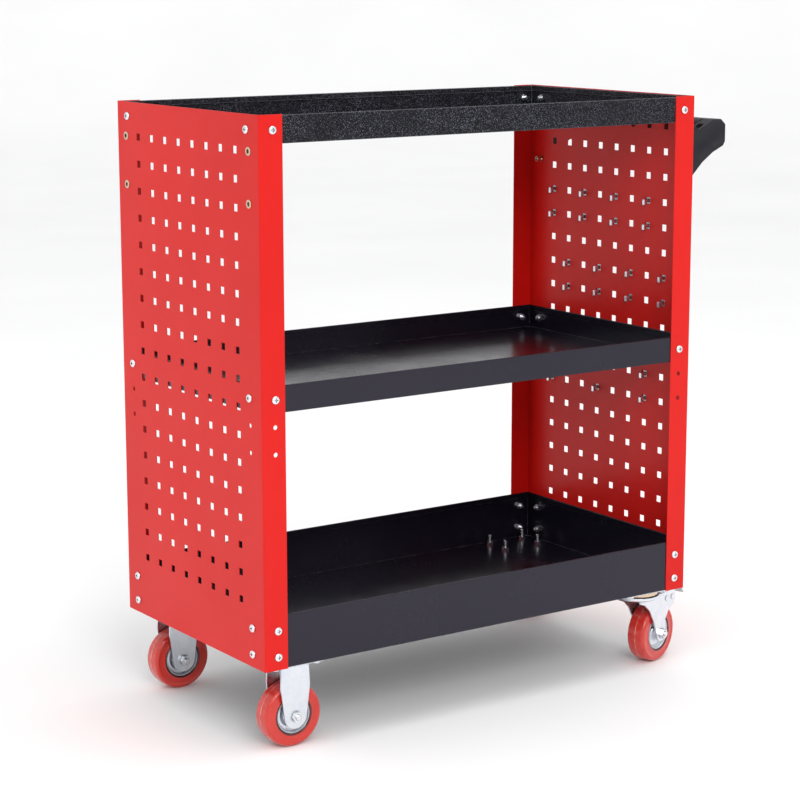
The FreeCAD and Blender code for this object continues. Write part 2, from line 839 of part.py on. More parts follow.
def rigid_bracket(label, side, depth):
    """A pressed plate with two tapered legs."""
    bracket = new_body(label)
    caster_plate(bracket)
    top = "rigid_leg_top / 2"
    belly = "rigid_leg_belly / 2"
    outline = [
        (f"-{top}", "-caster_plate_sheet / 2"),
        (f"-{belly}", "-rigid_leg_belly_drop"),
        ("-rigid_leg_end", "-axle_drop"),
        ("rigid_leg_end", "-axle_drop"),
        (belly, "-rigid_leg_belly_drop"),
        (top, "-caster_plate_sheet / 2"),
    ]
    fork_legs(bracket, outline, "0", "rigid_leg_end")
    place(bracket, *caster_spot(side, depth))
    return finish(bracket)


def axle_parts(prefix, spot):
    """The wheel bolt, its nut on the trolley's front side, and the bush that the legs clamp."""
    outer = "(fork_gap / 2 + fork_sheet)"
    bolt = new_body(f"{prefix}_axle_bolt")
    head = add_hexagon(new_sketch(bolt, "XZ_Plane", f"-{outer}"), "axle_head_across")
    extrude(bolt, head, "axle_head_height", backwards=True)
    shank = new_sketch(bolt, "YZ_Plane")
    far = f"-{outer} - axle_nut_height - axle_end"
    radius = "axle_bolt / 2"
    corners = [
        (far, "0"),
        (far, f"{radius} - 0.8"),
        (f"{far} + 0.8", radius),
        (f"{outer} + 1", radius),
        (f"{outer} + 1", "0"),
    ]
    revolve(bolt, add_polygon(shank, corners), "H_Axis")

    nut = new_body(f"{prefix}_axle_nut")
    extrude(nut, add_hexagon(new_sketch(nut, "XZ_Plane", outer), "axle_head_across"), "axle_nut_height")
    bore = add_circle(new_sketch(nut, "XZ_Plane"), "0", "0", "axle_bolt + 0.1")
    cut(nut, bore, "fork_gap * 2", both_ways=True)

    bush = new_body(f"{prefix}_bush")
    tube = new_sketch(bush, "XZ_Plane")
    add_circle(tube, "0", "0", "bush_outside")
    add_circle(tube, "0", "0", "axle_hole")
    extrude(bush, tube, "fork_gap - 2 * fit_gap", both_ways=True)
    x, y, z, turn = spot
    for piece in (bolt, nut, bush):
        place(piece, x, y, f"{z} - axle_drop", turn)
        finish(piece)


def wheel_parts(prefix, spot):
    """The pressed hub with its long bore, and the tyre moulded round it."""
    hub = new_body(f"{prefix}_hub")
    profile = new_sketch(hub, "YZ_Plane")
    half = [
        ("hub_length / 2", "hub_bore / 2"),
        ("hub_length / 2", "hub_boss / 2"),
        ("hub_web / 2", "hub_boss / 2 + 1.5"),
        ("hub_web / 2", "hub_rim / 2 - 2"),
        ("hub_rim_width / 2", "hub_rim / 2"),
        ("hub_rim_width / 2", "tyre_inside / 2"),
    ]
    other_half = [(f"-{y}", z) for y, z in reversed(half)]
    revolve(hub, add_polygon(profile, half + other_half), "H_Axis")

    tyre = new_body(f"{prefix}_tyre")
    profile = new_sketch(tyre, "YZ_Plane")
    add_rectangle(profile, "-tyre_width / 2", "tyre_inside / 2", "tyre_width / 2", "wheel_radius")
    revolve(tyre, profile, "H_Axis")
    round_edges(tyre, "tyre_shoulder", lambda edge: is_ring(edge, "wheel_radius * 2"))
    x, y, z, turn = spot
    for piece in (hub, tyre):
        place(piece, x, y, f"{z} - axle_drop", turn)
        finish(piece)


for depth, name in ((-1, "front_left"), (1, "rear_left")):
    rigid_bracket(f"{name}_bracket", -1, depth)
    axle_parts(name, caster_spot(-1, depth))
    wheel_parts(name, caster_spot(-1, depth))


def swivel_head(prefix, depth):
    """The parts of the swivel head that stay with the trolley: plate, kingpin and ball race."""
    plate = new_body(f"{prefix}_plate")
    caster_plate(plate)
    cut(plate, add_circle(new_sketch(plate, "XY_Plane"), "0", "0", "kingpin_bore"), "caster_plate_sheet * 2")

    kingpin = new_body(f"{prefix}_kingpin")
    corners = [
        ("0", "0"),
        ("kingpin / 2", "0"),
        ("kingpin / 2", "-kingpin_neck_drop"),
        ("kingpin_head / 2", "-kingpin_neck_drop"),
        ("kingpin_head / 2", "-kingpin_end_drop + 1"),
        ("kingpin_head / 2 - 1.5", "-kingpin_end_drop"),
        ("0", "-kingpin_end_drop"),
    ]
    revolve(kingpin, add_polygon(new_sketch(kingpin, "XZ_Plane"), corners), "V_Axis")

    race = new_body(f"{prefix}_ball_race")
    groove_in = "(ball_circle - groove_width) / 2"
    groove_out = "(ball_circle + groove_width) / 2"
    ceiling = "-ball_drop + ball / 2 + 0.35"
    corners = [
        ("race_inside / 2", "-caster_plate_sheet"),
        ("race_outside / 2", "-caster_plate_sheet"),
        ("race_outside / 2", "-race_bottom_drop + 2.6"),
        ("race_outside / 2 - 2", "-race_bottom_drop"),
        (groove_out, "-race_bottom_drop"),
        (groove_out, ceiling),
        (groove_in, ceiling),
        (groove_in, "-race_bottom_drop"),
        ("race_inside / 2", "-race_bottom_drop"),
    ]
    revolve(race, add_polygon(new_sketch(race, "XZ_Plane"), corners), "V_Axis")
    for piece in (plate, kingpin, race):
        place(piece, *caster_spot(1, depth))
        finish(piece)


# One leg of the swivel fork, from its front top corner round the wheel's axle to the brake's ear.
FORK_LEG = [
    ("-25", "-leg_top_drop"),
    ("-24", "-19"),
    ("-10", "-24"),
    ("4", "-36"),
    ("16", "-56"),
    ("trail - fork_end", "-axle_drop"),
    ("trail + fork_end", "-axle_drop"),
    ("trail + 10", "-58"),
    ("pedal_pin_reach - 8", "-43"),
    ("pedal_pin_reach + 6", "-36"),
    ("pedal_pin_reach + 9", "-22"),
    ("pedal_pin_reach + 3", "-leg_top_drop"),
]

# The pedal's tread in profile, from over the fork's crown out to its curled end.
PEDAL_TREAD = [
    ("pedal_pin_reach - 16", "-12"),
    ("pedal_pin_reach + 24", "-12"),
    ("pedal_pin_reach + 34", "-16"),
    ("pedal_pin_reach + 41", "-28"),
    ("pedal_pin_reach + 39", "-29"),
    ("pedal_pin_reach + 32.5", "-18"),
    ("pedal_pin_reach + 23.5", "-14.2"),
    ("pedal_pin_reach - 16", "-14.2"),
]

# One of the pedal's cheeks, which hang on the pin.
PEDAL_CHEEK = [
    ("pedal_pin_reach - 9", "-13"),
    ("pedal_pin_reach - 9", "-25.5"),
    ("pedal_pin_reach - 4", "-31.5"),
    ("pedal_pin_reach + 6", "-33.5"),
    ("pedal_pin_reach + 12", "-24.5"),
    ("pedal_pin_reach + 20", "-13"),
]

# The shoe's leaf in profile, from its pin down towards the tyre.
SHOE_LEAF = [
    ("shoe_pin_reach - 3", "-brake_pin_drop - 3"),
    ("shoe_pin_reach + 2.5", "-brake_pin_drop - 3"),
    ("shoe_pin_reach + 5", "-brake_pin_drop - 6.1"),
    ("shoe_pin_reach + 20", "-38.5"),
    ("shoe_pin_reach + 24", "-44"),
    ("shoe_pin_reach + 22.4", "-45"),
    ("shoe_pin_reach + 18.8", "-39.8"),
    ("shoe_pin_reach + 2", "-brake_pin_drop - 6.9"),
]


def fork(label, depth, turn):
    """The turning fork: a dished crown on the balls, and two legs with ears for the brake."""
    body = new_body(label)
    groove_in = "(ball_circle - groove_width) / 2 - 0.3"
    groove_out = "(ball_circle + groove_width) / 2 + 0.3"
    floor = "-ball_drop - ball / 2"
    lip_in = "crown_outside / 2 - 1.6"
    under = "-crown_top_drop - crown_sheet"
    crown = [
        ("kingpin_bore / 2", "-crown_top_drop"),
        (groove_in, "-crown_top_drop"),
        (groove_in, floor),
        (groove_out, floor),
        (groove_out, "-crown_top_drop"),
        (lip_in, "-crown_top_drop"),
        (lip_in, "-crown_lip_drop"),
        ("crown_outside / 2", "-crown_lip_drop"),
        ("crown_outside / 2", under),
        (f"{groove_out} + 2", f"{floor} - crown_sheet"),
        (f"{groove_in} - 2", f"{floor} - crown_sheet"),
        (f"{groove_in} - 3.5", under),
        ("kingpin_bore / 2", under),
    ]
    revolve(body, add_polygon(new_sketch(body, "XZ_Plane"), crown), "V_Axis")
    fork_legs(body, FORK_LEG, "trail", "fork_end")
    pin_holes = new_sketch(body, "XZ_Plane")
    for reach in ("pedal_pin_reach", "shoe_pin_reach"):
        add_circle(pin_holes, reach, "-brake_pin_drop", "brake_pin_hole")
    cut(body, pin_holes, "fork_gap * 2", both_ways=True)
    place(body, *caster_spot(1, depth, turn))
    return finish(body)


def brake_pins(label, depth, turn):
    """Two riveted pins: one for the pedal and one for the shoe."""
    pair = new_body(label)
    pair.AllowCompound = True
    outer = "(fork_gap / 2 + fork_sheet)"
    for reach in ("pedal_pin_reach", "shoe_pin_reach"):
        shank = add_circle(new_sketch(pair, "XZ_Plane"), reach, "-brake_pin_drop", "brake_pin")
        extrude(pair, shank, f"2 * {outer} + 0.2", both_ways=True)
        for side in SIDES:
            head = new_sketch(pair, "XZ_Plane", f"{side} * {outer}")
            add_circle(head, reach, "-brake_pin_drop", "brake_pin_head")
            extrude(pair, head, "brake_pin_head_height", backwards=side < 0)
    round_edges(
        pair,
        "brake_pin_head_height * 0.7",
        lambda edge: is_ring(edge, "brake_pin_head") and abs(edge.Curve.Center.y) > amount(f"{outer} + 0.5"),
    )
    place(pair, *caster_spot(1, depth, turn))
    return finish(pair)


def brake_pedal(label, depth, turn):
    """A pressed pedal: two cheeks on the pin, and a tread that curls down at its end."""
    pedal = new_body(label)
    extrude(pedal, add_polygon(new_sketch(pedal, "XZ_Plane"), PEDAL_TREAD), "pedal_width", both_ways=True)
    reach = amount("pedal_pin_reach")
    round_edges(
        pedal, "4", lambda edge: runs_along(edge, 1) and 20 < edge.CenterOfMass.x - reach < 36
    )
    for side in SIDES:
        offset = f"{side} * (pedal_width / 2 - pedal_cheek)"
        sketch = add_polygon(new_sketch(pedal, "XZ_Plane", offset), PEDAL_CHEEK)
        extrude(pedal, sketch, "pedal_cheek", backwards=side < 0)
    hole = new_sketch(pedal, "XZ_Plane")
    add_circle(hole, "pedal_pin_reach", "-brake_pin_drop", "brake_pin_hole + 0.02")
    cut(pedal, hole, "fork_gap * 2", both_ways=True)
    place(pedal, *caster_spot(1, depth, turn))
    return finish(pedal)


def brake_shoe(label, depth, turn):
    """A leaf curled round its pin that the pedal pushes down on the tyre."""
    shoe = new_body(label)
    extrude(shoe, add_polygon(new_sketch(shoe, "XZ_Plane"), SHOE_LEAF), "shoe_width", both_ways=True)
    eye = add_circle(new_sketch(shoe, "XZ_Plane"), "shoe_pin_reach", "-brake_pin_drop", "shoe_eye")
    extrude(shoe, eye, "shoe_width", both_ways=True)
    bore = add_circle(new_sketch(shoe, "XZ_Plane"), "shoe_pin_reach", "-brake_pin_drop", "brake_pin_hole")
    cut(shoe, bore, "fork_gap * 2", both_ways=True)
    place(shoe, *caster_spot(1, depth, turn))
    return finish(shoe)


ball_pattern = document.addObject("Part::Sphere", "ball_pattern")
ball_pattern.setExpression("Radius", bound("ball / 2 - 0.02"))

for depth, name, turn in ((-1, "front_right", "front_turn"), (1, "rear_right", "rear_turn")):
    swivel_head(name, depth)
    fork(f"{name}_fork", depth, turn)
    axle_parts(name, caster_spot(1, depth, turn, "trail"))
    wheel_parts(name, caster_spot(1, depth, turn, "trail"))
    brake_pins(f"{name}_brake_pins", depth, turn)
    brake_pedal(f"{name}_brake_pedal", depth, turn)
    brake_shoe(f"{name}_brake_shoe", depth, turn)
    spots = []
    for number in range(SIZES["ball_count"]):
        angle = f"({turn} + 360 * {number} / ball_count)"
        x, y, z, _ = caster_spot(1, depth, angle, "ball_circle / 2")
        spots.append(((x, y, f"{z} - ball_drop"), FACING["up"]))
    group(f"{name}_balls", ball_pattern, spots)

bolt_spots = []
nut_spots = []
for x_end in SIDES:
    for y_end in SIDES:
        for bolt_x, bolt_y in caster_bolt_spots(x_end, y_end):
            x = f"{CART_MIDDLE} + {bolt_x}"
            bolt_spots.append(((x, bolt_y, f"{CASTER_TOP} - caster_plate_sheet"), FACING["up"]))
            nut_spots.append(((x, bolt_y, f"{CASTER_TOP} + tray_sheet"), FACING["down"]))
group("caster_bolts", caster_bolt, bolt_spots)
group("caster_nuts", plain_nut, nut_spots)


# ---------------------------------------------------------------- checks and export

document.recompute()
for item in document.Objects:
    if "Invalid" in item.State or "Error" in item.State:
        raise RuntimeError(f"{item.Name} failed: {item.State}")
for node in nodes:
    if node.Shape.isNull() or not node.Shape.isValid() or not node.Shape.Solids:
        raise RuntimeError(f"{node.Label} has no valid solid")

os.makedirs("parts", exist_ok=True)
for node in nodes:
    node.Shape.exportStep(f"parts/{node.Label}.step")
    print(f"{node.Label}: {len(node.Shape.Solids)} solids, {node.Shape.Volume / 1000:.2f} cm3")
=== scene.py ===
import json
import math
import bmesh
import bpy
from mathutils import Matrix, Vector

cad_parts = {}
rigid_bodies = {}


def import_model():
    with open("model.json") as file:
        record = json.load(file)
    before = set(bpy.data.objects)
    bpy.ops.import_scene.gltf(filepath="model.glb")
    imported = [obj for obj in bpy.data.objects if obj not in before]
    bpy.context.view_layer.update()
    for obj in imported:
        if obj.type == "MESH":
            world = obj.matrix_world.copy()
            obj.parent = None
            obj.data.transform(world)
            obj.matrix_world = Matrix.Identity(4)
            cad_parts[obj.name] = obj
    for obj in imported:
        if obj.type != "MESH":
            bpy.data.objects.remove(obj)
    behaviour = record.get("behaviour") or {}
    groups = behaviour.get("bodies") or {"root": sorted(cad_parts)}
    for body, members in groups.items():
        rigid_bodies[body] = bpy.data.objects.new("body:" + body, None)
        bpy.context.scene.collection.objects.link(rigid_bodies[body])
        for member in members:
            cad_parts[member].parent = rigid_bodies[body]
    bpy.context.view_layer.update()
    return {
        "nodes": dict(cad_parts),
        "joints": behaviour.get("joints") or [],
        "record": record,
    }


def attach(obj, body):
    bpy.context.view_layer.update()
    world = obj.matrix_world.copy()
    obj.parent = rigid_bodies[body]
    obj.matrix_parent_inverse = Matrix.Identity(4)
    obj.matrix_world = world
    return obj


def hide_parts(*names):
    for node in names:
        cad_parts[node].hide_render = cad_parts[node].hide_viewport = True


for stray in list(bpy.data.objects):
    bpy.data.objects.remove(stray, do_unlink=True)

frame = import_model()

# ------------------------------------------------------------------ node graphs


class Graph:
    """One material's node tree, with a Principled shader already joined to its output."""

    def __init__(self, name):
        self.material = bpy.data.materials.new(name)
        self.material.use_nodes = True
        self.tree = self.material.node_tree
        self.tree.nodes.clear()
        self.output = self.tree.nodes.new("ShaderNodeOutputMaterial")
        self.shader = self.tree.nodes.new("ShaderNodeBsdfPrincipled")
        self.join(self.shader.outputs["BSDF"], self.output.inputs["Surface"])
        self.place = self.tree.nodes.new("ShaderNodeTexCoord").outputs["Object"]

    def join(self, source, target):
        self.tree.links.new(source, target)

    def set(self, **values):
        for name, value in values.items():
            self.shader.inputs[name.replace("_", " ")].default_value = value

    def feed(self, socket, source):
        self.join(source, self.shader.inputs[socket])

    def add(self, kind, **settings):
        node = self.tree.nodes.new(kind)
        for name, value in settings.items():
            setattr(node, name, value)
        return node

    def stretched(self, stretch):
        mapping = self.add("ShaderNodeMapping")
        mapping.inputs["Scale"].default_value = stretch
        self.join(self.place, mapping.inputs["Vector"])
        return mapping.outputs["Vector"]

    def noise(self, scale, detail=3.0, roughness=0.5, stretch=None):
        node = self.add("ShaderNodeTexNoise")
        node.inputs["Scale"].default_value = scale
        node.inputs["Detail"].default_value = detail
        node.inputs["Roughness"].default_value = roughness
        self.join(self.stretched(stretch) if stretch else self.place, node.inputs["Vector"])
        return node.outputs["Fac"]

    def cells(self, scale):
        """Distance from the nearest of many scattered points."""
        node = self.add("ShaderNodeTexVoronoi")
        node.inputs["Scale"].default_value = scale
        self.join(self.place, node.inputs["Vector"])
        return node.outputs["Distance"]

    def spread(self, source, low, high, to_low=0.0, to_high=1.0):
        """The source's range low..high drawn out to to_low..to_high, and clamped."""
        node = self.add("ShaderNodeMapRange")
        node.inputs["From Min"].default_value = low
        node.inputs["From Max"].default_value = high
        node.inputs["To Min"].default_value = to_low
        node.inputs["To Max"].default_value = to_high
        self.join(source, node.inputs["Value"])
        return node.outputs["Result"]

    def maths(self, operation, first, second=0.0):
        node = self.add("ShaderNodeMath", operation=operation)
        for socket, value in zip(node.inputs, (first, second)):
            if isinstance(value, (int, float)):
                socket.default_value = value
            else:
                self.join(value, socket)
        return node.outputs["Value"]

    def blend(self, factor, first, second):
        """Colours or sockets first and second mixed by the factor."""
        node = self.add("ShaderNodeMix", data_type="RGBA")
        self.join(factor, node.inputs["Factor"])
        colours = [socket for socket in node.inputs if socket.type == "RGBA"]
        for socket, value in zip(colours, (first, second)):
            if isinstance(value, tuple):
                socket.default_value = (*value, 1.0)
            else:
                self.join(value, socket)
        return next(socket for socket in node.outputs if socket.type == "RGBA")

    def soft_edges(self, radius):
        """Normals that turn smoothly over every edge within the radius."""
        node = self.add("ShaderNodeBevel", samples=3)
        node.inputs["Radius"].default_value = radius
        return node.outputs["Normal"]

    def edge_mask(self, rounded, low=0.02, high=0.25):
        """1 on the object's edges and 0 on its flats, from how far rounding turns the normal."""
        geometry = self.add("ShaderNodeNewGeometry")
        dot = self.add("ShaderNodeVectorMath", operation="DOT_PRODUCT")
        self.join(rounded, dot.inputs[0])
        self.join(geometry.outputs["Normal"], dot.inputs[1])
        turned = self.maths("SUBTRACT", 1.0, dot.outputs["Value"])
        return self.spread(turned, low, high)

    def cavity(self, reach):
        """1 deep in recesses and joints, and 0 in the open; it marks where shade is painted."""
        node = self.add("ShaderNodeAmbientOcclusion", samples=4)
        node.inputs["Distance"].default_value = reach
        return self.spread(node.outputs["AO"], 0.35, 0.85, 1.0, 0.0)

    def bump(self, height, strength, distance, under=None):
        node = self.add("ShaderNodeBump")
        node.inputs["Strength"].default_value = strength
        node.inputs["Distance"].default_value = distance
        self.join(height, node.inputs["Height"])
        if under is not None:
            self.join(under, node.inputs["Normal"])
        return node.outputs["Normal"]


# ------------------------------------------------------------------ materials

PAINT_IOR = 1.5
SHEET_EDGE = 0.0007
HEM_EDGE = 0.0009
MOULDED_EDGE = 0.0008

# Marks on a tyre, in metres from its axle and from its middle: the tread, the painted shade by the rim and
# the painted highlight on the flash line.
TREAD_START = 0.0418
TREAD_FADE = 0.0022
RIM_END = 0.02915
RIM_FADE = 0.00045
FLASH_CORE = 0.0001
FLASH_REACH = 0.0009


def painted_steel(name, colour, deeper, wear, roughness, coat, shine, tint, peel):
    """Gloss powder coat: slight orange peel, slow drift of shade, thin and paler along the edges."""
    g = Graph(name)
    drift = g.spread(g.noise(4.0, 2.0), 0.3, 0.7)
    body = g.blend(drift, colour, deeper)
    rounded = g.soft_edges(SHEET_EDGE)
    scuffs = g.spread(g.noise(140.0, 4.0, 0.6), 0.42, 0.62)
    edge = g.maths("MULTIPLY", g.edge_mask(rounded), scuffs)
    specks = g.spread(g.cells(900.0), 0.0, 0.10, 0.25, 0.0)
    g.feed("Base Color", g.blend(g.maths("MAXIMUM", edge, specks), body, wear))
    smears = g.spread(g.noise(9.0, 5.0, 0.6), 0.3, 0.75, roughness - 0.05, roughness + 0.07)
    g.feed("Roughness", smears)
    g.feed("Normal", g.bump(g.noise(420.0, 1.0), peel, 0.0006, rounded))
    g.set(Coat_Weight=coat, Coat_Roughness=0.12, IOR=PAINT_IOR, Specular_IOR_Level=shine, Specular_Tint=tint)
    return g.material


def speckled_paint():
    """Black textured coat: a sandy skin of close grains, some of which catch the light, with rubbed edges
    painted pale as a highlight along the hems.
    """
    pit_black = (0.003, 0.003, 0.005)
    skin_black = (0.008, 0.008, 0.012)
    lit_grain = (0.26, 0.26, 0.33)
    pale_edge = (0.52, 0.52, 0.56)
    g = Graph("speckled_black_coat")
    fine = g.noise(900.0, 2.0, 0.7)
    crest = g.spread(g.cells(620.0), 0.12, 0.50, 1.0, 0.0)
    chosen = g.spread(g.noise(640.0, 1.0, 0.4), 0.46, 0.58)
    patches = g.spread(g.noise(14.0, 2.0), 0.3, 0.7, 0.45, 1.0)
    lit = g.maths("MULTIPLY", g.maths("MULTIPLY", crest, chosen), patches)
    ground = g.blend(g.spread(g.noise(60.0, 4.0), 0.35, 0.7), pit_black, skin_black)
    rounded = g.soft_edges(HEM_EDGE)
    # Pale edges: rubbed paint together with a painted highlight along the hems.
    edge = g.maths("MULTIPLY", g.edge_mask(rounded, 0.01, 0.12), g.spread(fine, 0.30, 0.5, 0.35, 1.0))
    g.feed("Base Color", g.blend(edge, g.blend(lit, ground, lit_grain), pale_edge))
    g.feed("Roughness", g.spread(fine, 0.3, 0.7, 0.30, 0.50))
    height = g.maths("ADD", g.maths("MULTIPLY", crest, 0.8), g.maths("MULTIPLY", fine, 0.4))
    g.feed("Normal", g.bump(height, 0.8, 0.0008, rounded))
    g.set(IOR=PAINT_IOR, Specular_IOR_Level=0.16)
    return g.material


def zinc_plate(name, colour, cloud, painted_edge_shade, roughness, edge_round, reach, brushing=(1.0, 1.0, 1.0)):
    """Bright zinc: cloudy bluish patches, faint drawing lines, painted blue-grey shade along the edges and
    painted shade darkening the recesses.
    """
    stain = (0.46, 0.47, 0.49)
    painted_recess_shade = (0.07, 0.07, 0.08)
    g = Graph(name)
    shade = g.blend(g.spread(g.noise(55.0, 4.0, 0.6), 0.3, 0.72), colour, cloud)
    stained = g.blend(g.spread(g.noise(210.0, 5.0, 0.65), 0.60, 0.78, 0.0, 0.4), shade, stain)
    rounded = g.soft_edges(edge_round)
    # Painted shade: the edges turn dark blue-grey.
    edge = g.spread(g.edge_mask(rounded, 0.01, 0.10), 0.0, 1.0, 0.0, 0.85)
    edged = g.blend(edge, stained, painted_edge_shade)
    # Painted shade: recesses and joints turn near black, by how closed in they are.
    g.feed("Base Color", g.blend(g.cavity(reach), edged, painted_recess_shade))
    lines = g.noise(160.0, 3.0, 0.6, stretch=brushing)
    g.feed("Roughness", g.spread(lines, 0.3, 0.72, roughness - 0.08, roughness + 0.10))
    g.feed("Normal", g.bump(lines, 0.16, 0.0003, rounded))
    g.set(Metallic=1.0)
    return g.material


def moulded_plastic():
    """Grey-black nylon with a fine spark-eroded grain, rubbed paler along its edges."""
    deep = (0.009, 0.009, 0.013)
    pale = (0.017, 0.017, 0.023)
    pale_edge = (0.075, 0.075, 0.082)
    g = Graph("grained_black_plastic")
    rounded = g.soft_edges(MOULDED_EDGE)
    body = g.blend(g.spread(g.noise(38.0, 3.0), 0.35, 0.68), deep, pale)
    edge = g.maths("MULTIPLY", g.edge_mask(rounded), g.spread(g.noise(230.0), 0.35, 0.6))
    g.feed("Base Color", g.blend(edge, body, pale_edge))
    g.feed("Roughness", g.spread(g.noise(24.0, 4.0), 0.3, 0.7, 0.36, 0.52))
    g.feed("Normal", g.bump(g.cells(1500.0), 0.22, 0.0003, rounded))
    g.set(IOR=1.46, Specular_IOR_Level=0.30)
    return g.material


def red_urethane():
    """Cast polyurethane: glassy, with painted shade darkening it by the hub's rim, a little rubbed on the
    tread, and a broken flash line painted pale as a highlight.
    """
    cast_red = (0.60, 0.024, 0.013)
    deeper_red = (0.52, 0.018, 0.010)
    rubbed = (0.62, 0.26, 0.22)
    flash_highlight_colour = (0.84, 0.55, 0.50)
    painted_rim_shade = (0.10, 0.004, 0.003)
    g = Graph("red_urethane")
    spot = g.add("ShaderNodeSeparateXYZ")
    g.join(g.place, spot.inputs["Vector"])
    squares = [g.maths("MULTIPLY", spot.outputs[axis], spot.outputs[axis]) for axis in ("X", "Z")]
    radius = g.maths("SQRT", g.maths("ADD", *squares))
    tread = g.spread(radius, TREAD_START, TREAD_START + TREAD_FADE)
    # Painted shade: a dark ring on the tyre's face where it meets the hub.
    rim = g.spread(radius, RIM_END - RIM_FADE, RIM_END + RIM_FADE, 1.0, 0.0)
    flash = g.spread(g.maths("ABSOLUTE", spot.outputs["Y"]), FLASH_CORE, FLASH_REACH, 1.0, 0.0)
    body = g.blend(g.spread(g.noise(38.0, 2.0), 0.3, 0.7), cast_red, deeper_red)
    worn = g.maths("MULTIPLY", tread, g.spread(g.noise(170.0, 4.0, 0.6), 0.45, 0.80, 0.0, 0.22))
    broken = g.spread(g.noise(120.0, 3.0), 0.38, 0.62, 0.05, 0.7)
    # Painted highlight: the flash line at the tread's middle is painted pale, broken by noise.
    line = g.maths("MULTIPLY", g.maths("MULTIPLY", tread, flash), broken)
    lined = g.blend(line, g.blend(worn, body, rubbed), flash_highlight_colour)
    g.feed("Base Color", g.blend(rim, lined, painted_rim_shade))
    gloss = g.spread(g.noise(60.0, 3.0), 0.3, 0.7, 0.16, 0.24)
    g.feed("Roughness", g.maths("ADD", gloss, g.maths("MULTIPLY", tread, 0.12)))
    g.feed("Normal", g.bump(g.noise(140.0, 2.0), 0.06, 0.0004))
    g.set(Coat_Weight=0.6, Coat_Roughness=0.05, IOR=1.49, Specular_IOR_Level=0.4)
    g.set(Subsurface_Weight=0.12, Subsurface_Scale=0.004, Subsurface_Radius=(1.0, 0.12, 0.06))
    return g.material


def floor_paper():
    """Pale studio paper with a barely visible tooth."""
    white = (0.93, 0.93, 0.93)
    off_white = (0.90, 0.90, 0.905)
    g = Graph("studio_paper")
    tooth = g.noise(300.0, 3.0)
    g.feed("Base Color", g.blend(g.spread(g.noise(1.2, 2.0), 0.3, 0.7), white, off_white))
    g.feed("Roughness", g.spread(tooth, 0.3, 0.7, 0.60, 0.74))
    g.feed("Normal", g.bump(tooth, 0.05, 0.0004))
    g.set(Specular_IOR_Level=0.2)
    return g.material


MATERIALS = {
    "red_panel": painted_steel(
        "red_gloss_coat",
        colour=(0.66, 0.0085, 0.0055),
        deeper=(0.60, 0.007, 0.0045),
        wear=(0.72, 0.06, 0.045),
        roughness=0.36,
        coat=0.05,
        shine=0.20,
        tint=(1.0, 1.0, 1.0, 1.0),
        peel=0.10,
    ),
    "gloss_black": painted_steel(
        "black_gloss_coat",
        colour=(0.0055, 0.005, 0.0095),
        deeper=(0.008, 0.007, 0.013),
        wear=(0.30, 0.30, 0.34),
        roughness=0.24,
        coat=0.06,
        shine=0.42,
        tint=(0.88, 0.82, 1.0, 1.0),
        peel=0.06,
    ),
    "speckled_black": speckled_paint(),
    "zinc_fastener": zinc_plate(
        "bright_zinc_fasteners",
        colour=(0.86, 0.87, 0.88),
        cloud=(0.76, 0.79, 0.84),
        painted_edge_shade=(0.34, 0.36, 0.42),
        roughness=0.24,
        edge_round=0.0005,
        reach=0.0014,
    ),
    "zinc_sheet": zinc_plate(
        "bright_zinc_pressings",
        colour=(0.82, 0.84, 0.87),
        cloud=(0.72, 0.76, 0.84),
        painted_edge_shade=(0.30, 0.34, 0.43),
        roughness=0.32,
        edge_round=0.0011,
        reach=0.004,
        brushing=(1.0, 1.0, 0.12),
    ),
    "gold_zinc": zinc_plate(
        "yellow_zinc",
        colour=(0.74, 0.52, 0.36),
        cloud=(0.70, 0.60, 0.46),
        painted_edge_shade=(0.40, 0.25, 0.16),
        roughness=0.26,
        edge_round=0.0005,
        reach=0.0016,
    ),
    "black_plastic": moulded_plastic(),
    "red_tyre": red_urethane(),
}

for node in frame["nodes"].values():
    for index, material in enumerate(node.data.materials):
        node.data.materials[index] = MATERIALS[material.name.split(".")[0]]

# ------------------------------------------------------------------ detailed pieces

SMOOTH_UNDER = math.radians(38.0)
ROUND_OVER = math.radians(40.0)
FLAT_WITHIN = math.radians(1.0)
WELD_DISTANCE = 0.00002
BRACKET_ROUND = 0.0007
SWIVEL_ROUND = 0.0006


def finish_mesh(build, name, material):
    """Turns a bmesh into a smooth-shaded object that keeps its real creases."""
    bmesh.ops.recalc_face_normals(build, faces=build.faces)
    mesh = bpy.data.meshes.new(name)
    build.to_mesh(mesh)
    build.free()
    mesh.shade_smooth()
    mesh.set_sharp_from_angle(angle=SMOOTH_UNDER)
    mesh.materials.append(material)
    piece = bpy.data.objects.new(name, mesh)
    bpy.context.scene.collection.objects.link(piece)
    return piece


def turned(profile, sides):
    """A closed ring turned round the local Y axis from (radius, offset) points."""
    build = bmesh.new()
    loops = []
    for side in range(sides):
        angle = 2.0 * math.pi * side / sides
        across, up = math.cos(angle), math.sin(angle)
        loops.append([build.verts.new((radius * across, offset, radius * up)) for radius, offset in profile])
    count = len(profile)
    for side in range(sides):
        here, there = loops[side], loops[(side + 1) % sides]
        for index in range(count):
            after = (index + 1) % count
            build.faces.new((here[index], here[after], there[after], there[index]))
    return build


def whole_section(half_mm):
    """A section from the (radius, offset) points of its one half, which are in millimetres."""
    half = [(radius / 1000.0, offset / 1000.0) for radius, offset in half_mm]
    return half + [(radius, -offset) for radius, offset in reversed(half)]


# From the rim's inner edge, over the side's raised ring and the shoulder, to the flash line.
TYRE_SIDES = 128
TYRE_SECTION = whole_section(
    [
        (26.5, 12.6),
        (26.9, 14.0),
        (28.0, 14.8),
        (29.2, 15.0),
        (30.2, 14.7),
        (33.0, 14.45),
        (37.0, 14.45),
        (38.4, 14.6),
        (39.0, 15.0),
        (40.4, 15.0),
        (42.0, 14.5),
        (43.4, 13.4),
        (44.3, 11.6),
        (44.6, 9.4),
        (44.7, 5.0),
        (44.75, 1.0),
        (45.0, 0.35),
    ]
)

